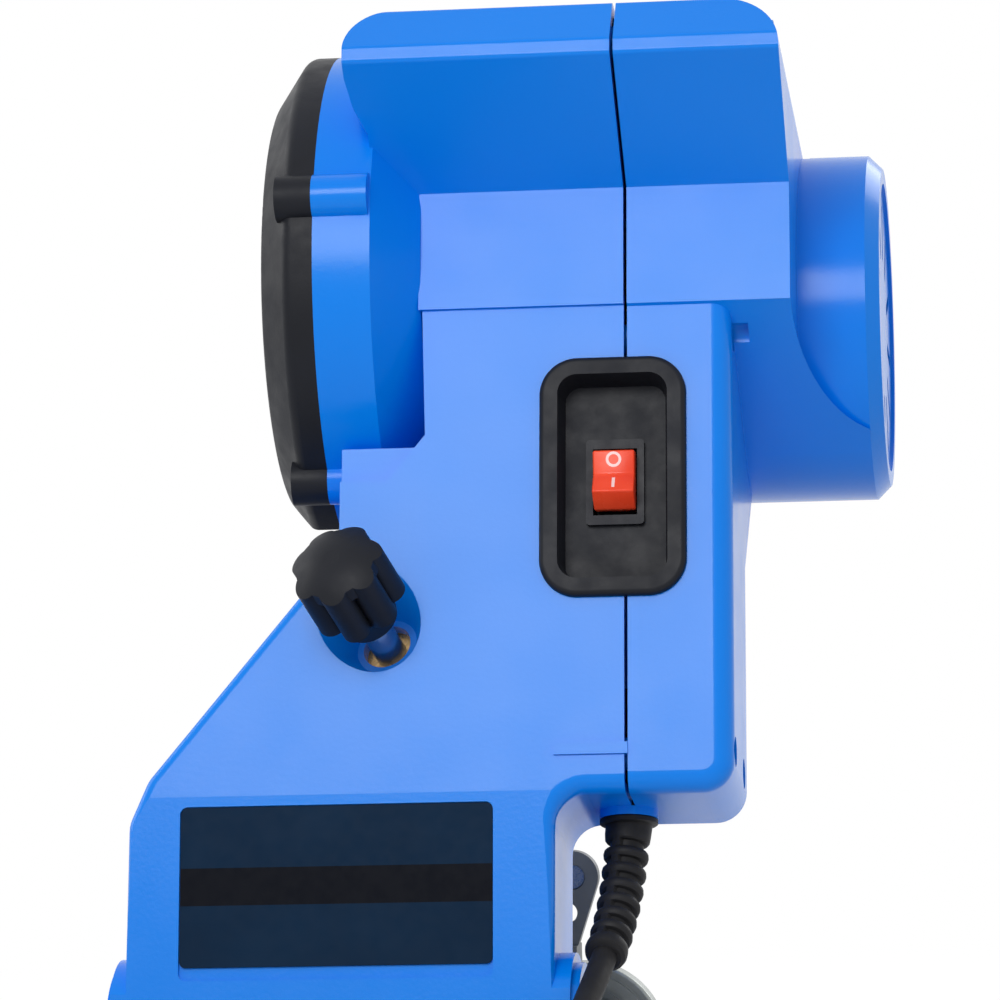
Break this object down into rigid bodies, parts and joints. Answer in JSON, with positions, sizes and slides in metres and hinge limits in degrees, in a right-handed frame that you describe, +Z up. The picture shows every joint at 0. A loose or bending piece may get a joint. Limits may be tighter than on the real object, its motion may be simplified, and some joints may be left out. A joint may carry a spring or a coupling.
{
  "type": "electric chainsaw sharpener",
  "caption": "Bench chain grinder: a motor head with a guarded thin wheel tilts on a sprung hinge down to a swivelling chain vise on a cast base.",
  "frame": {"origin": "on the bench under the base, on the swivel axis of the chain vise, below the point where the wheel meets the chain", "axes": "+X along the wheel spindle towards the motor, +Y from the hinge to the vise, +Z up"},
  "size_m": [0.2045, 0.3794, 0.3144],
  "materials": {
    "housing_blue": "glossy blue moulded plastic",
    "black_plastic": "satin black moulded plastic",
    "switch_black": "fine black plastic",
    "rocker_red": "glossy red plastic",
    "plate_navy": "printed film, dark navy with a black band",
    "dark_screw": "black oxide",
    "zinc_screw": "zinc plated",
    "cord_rubber": "matt black rubber",
    "plated_pins": "nickel plated",
    "abrasive": "vitrified aluminium oxide, brick pink",
    "cast_grey": "grey painted casting",
    "hand_wheel": "satin",
    "steel": "turned steel",
    "scale_plate": "satin, engraved",
    "bronze": "turned bronze and brass",
    "lamination": "stacked sheet steel",
    "copper": "enamelled copper",
    "carbon": "pressed carbon",
    "capacitor_yellow": "moulded case"
  },
  "bodies": {
    "base": {"base_casting": "cast_grey", "lock_nut": "steel", "hinge_pin": "steel", "pin_rings": "steel", "return_spring": "steel", "angle_pointer": "steel", "mains_cord": "cord_rubber", "cord_coil": "cord_rubber", "mains_plug": "cord_rubber", "plug_pins": "plated_pins"},
    "head": {"front_shell": "housing_blue", "rear_shell": "housing_blue", "wheel_cover": "black_plastic", "cover_screws": "dark_screw", "housing_screws": "zinc_screw", "rating_plate": "plate_navy", "switch_frame": "black_plastic", "switch_body": "switch_black", "depth_insert": "bronze", "bearing_plate": "cast_grey", "plate_screws": "zinc_screw", "spindle_bearings": "steel", "motor_bearings": "steel", "stator_core": "lamination", "field_windings": "copper", "carbon_brushes": "carbon", "brush_holders": "bronze", "capacitor": "capacitor_yellow", "lead_tail": "cord_rubber", "cord_clamp": "black_plastic", "cord_sleeve": "cord_rubber", "hinge_bushes": "bronze"},
    "spindle": {"spindle": "steel", "inner_flange": "steel", "outer_flange": "steel", "wheel_nut": "steel", "grinding_wheel": "abrasive", "driven_gear": "steel"},
    "rotor": {"motor_shaft": "steel", "motor_pinion": "steel", "cooling_fan": "black_plastic", "armature_core": "lamination", "armature_winding": "copper", "commutator": "copper"},
    "rocker": {"rocker": "rocker_red"},
    "depth_screw": {"depth_screw": "steel"},
    "depth_knob": {"depth_knob": "black_plastic"},
    "lock": {"lock_screw": "steel", "lock_wheel": "hand_wheel"},
    "vise": {"turntable": "cast_grey", "vise_block": "cast_grey", "fixed_jaw": "steel", "guide_pins": "steel", "angle_scale": "scale_plate", "stop_bracket": "cast_grey", "pawl_pin": "steel"},
    "jaw": {"moving_jaw": "steel"},
    "clamp": {"clamp_screw": "steel", "clamp_lever": "black_plastic"},
    "pawl": {"chain_pawl": "cast_grey"}
  },
  "joints": [
    {"name": "head_tilt", "type": "hinge", "parent": "base", "child": "head", "pos_m": [0, -0.16433, 0.05], "axis": [-1, 0, 0], "range_deg": [0, 30], "stiffness_Nm_per_rad": 6, "springref_deg": -28.65, "deforming": ["return_spring"]},
    {"name": "wheel_spin", "type": "hinge", "parent": "head", "child": "spindle", "pos_m": [0, -0.08509, 0.24141], "axis": [1, 0, 0], "continuous": true},
    {"name": "motor_spin", "type": "hinge", "parent": "head", "child": "rotor", "pos_m": [0, -0.06316, 0.23165], "axis": [1, 0, 0], "continuous": true},
    {"name": "rocker_tilt", "type": "hinge", "parent": "head", "child": "rocker", "pos_m": [0.0751, -0.14072, 0.19068], "axis": [1, 0, 0], "range_deg": [0, 22]},
    {"name": "depth_slide", "type": "slide", "parent": "head", "child": "depth_screw", "axis": [0.2332, 0.7663, -0.5987], "range_m": [-0.008, 0]},
    {"name": "knob_turn", "type": "hinge", "parent": "depth_screw", "child": "depth_knob", "pos_m": [0.0146, -0.15898, 0.15499], "axis": [0.2332, 0.7663, -0.5987], "range_deg": [-2400, 0]},
    {"name": "lock_turn", "type": "hinge", "parent": "base", "child": "lock", "pos_m": [0.046, 0, 0.03], "axis": [0, 1, 0], "range_deg": [0, 180]},
    {"name": "vise_swivel", "type": "hinge", "parent": "base", "child": "vise", "pos_m": [0, 0, 0.0548], "axis": [0, 0, 1], "range_deg": [-35, 35]},
    {"name": "jaw_slide", "type": "slide", "parent": "vise", "child": "jaw", "axis": [0, 1, 0], "range_m": [0, 0.003]},
    {"name": "clamp_turn", "type": "hinge", "parent": "jaw", "child": "clamp", "pos_m": [0, 0, 0.092], "axis": [0, 1, 0], "range_deg": [0, 105]},
    {"name": "pawl_lift", "type": "hinge", "parent": "vise", "child": "pawl", "pos_m": [0.0478, 0, 0.081], "axis": [0, 1, 0], "range_deg": [0, 12]}
  ],
  "couplings": [
    {"joint": "motor_spin", "follows": "wheel_spin", "ratio": -3},
    {"joint": "knob_turn", "follows": "depth_slide", "rad_per_m": 5026.5},
    {"joint": "clamp_turn", "follows": "jaw_slide", "rad_per_m": 581.7}
  ]
}
